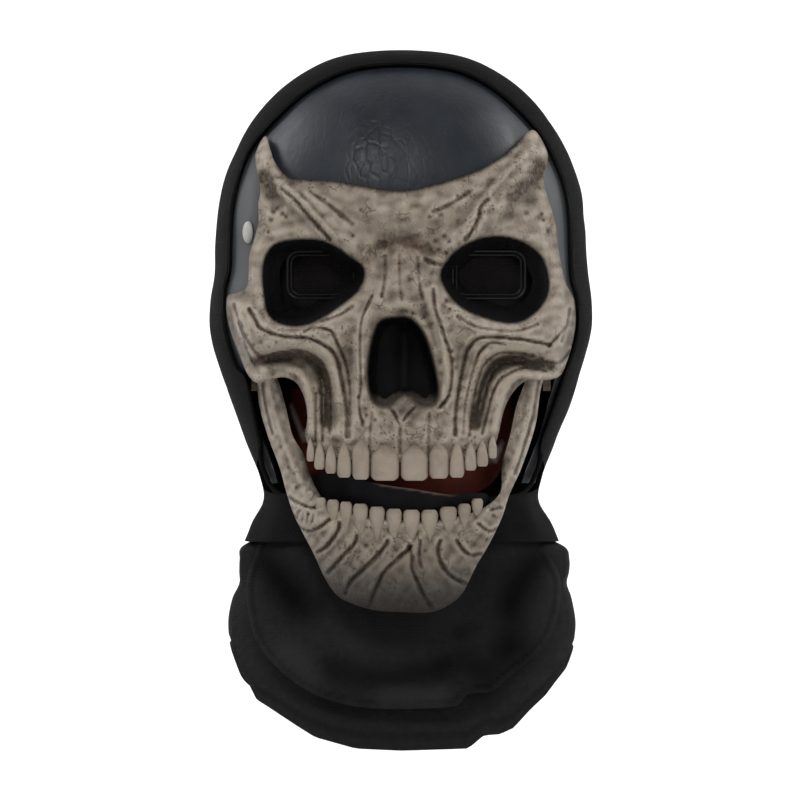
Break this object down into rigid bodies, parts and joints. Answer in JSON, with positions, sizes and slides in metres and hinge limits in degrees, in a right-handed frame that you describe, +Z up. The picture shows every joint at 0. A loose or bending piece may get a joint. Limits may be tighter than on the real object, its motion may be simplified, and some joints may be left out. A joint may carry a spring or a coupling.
{
  "type": "hooded skull mask with a hinged jaw",
  "caption": "Full-head skull mask: bone-coloured face and hinged jaw on a dark moulded cap, inside a black cloth hood with a layered neck cape.",
  "frame": {"origin": "seat of the crown, where the top of a head touches the inside of the cap", "axes": "+Z up, front of the face towards -Y, +X to the viewer's right"},
  "size_m": [0.1898, 0.2233, 0.3496],
  "materials": {
    "hood_cloth": "fine black knit",
    "neck_cloth": "soft black knit",
    "dark_shell": "dark blue-grey, satin gloss, lightly wrinkled",
    "bone": "bone paint with brown stain in the grooves",
    "jaw_lining": "black, satin",
    "mouth_lining": "red-brown, matt",
    "lens_mesh": "black mesh with a satin frame",
    "stud": "cream, satin",
    "pivot_pin": "plain pin"
  },
  "bodies": {
    "head": {"hood": "hood_cloth", "neck_bib": "neck_cloth", "neck_cape": "neck_cloth", "skull_cap": "dark_shell", "skull_face": "bone", "mouth_lining": "mouth_lining", "nose_mesh": "lens_mesh", "eye_mesh_left": "lens_mesh", "eye_mesh_right": "lens_mesh", "temple_stud": "stud", "jaw_pivot_left": "pivot_pin", "jaw_pivot_right": "pivot_pin"},
    "jaw": {"jaw": "bone", "jaw_lining": "jaw_lining"}
  },
  "joints": [
    {"name": "jaw_hinge", "type": "hinge", "parent": "head", "child": "jaw", "pos_m": [0, -0.022, -0.128], "axis": [1, 0, 0], "range_deg": [-5.5, 2.4]}
  ]
}
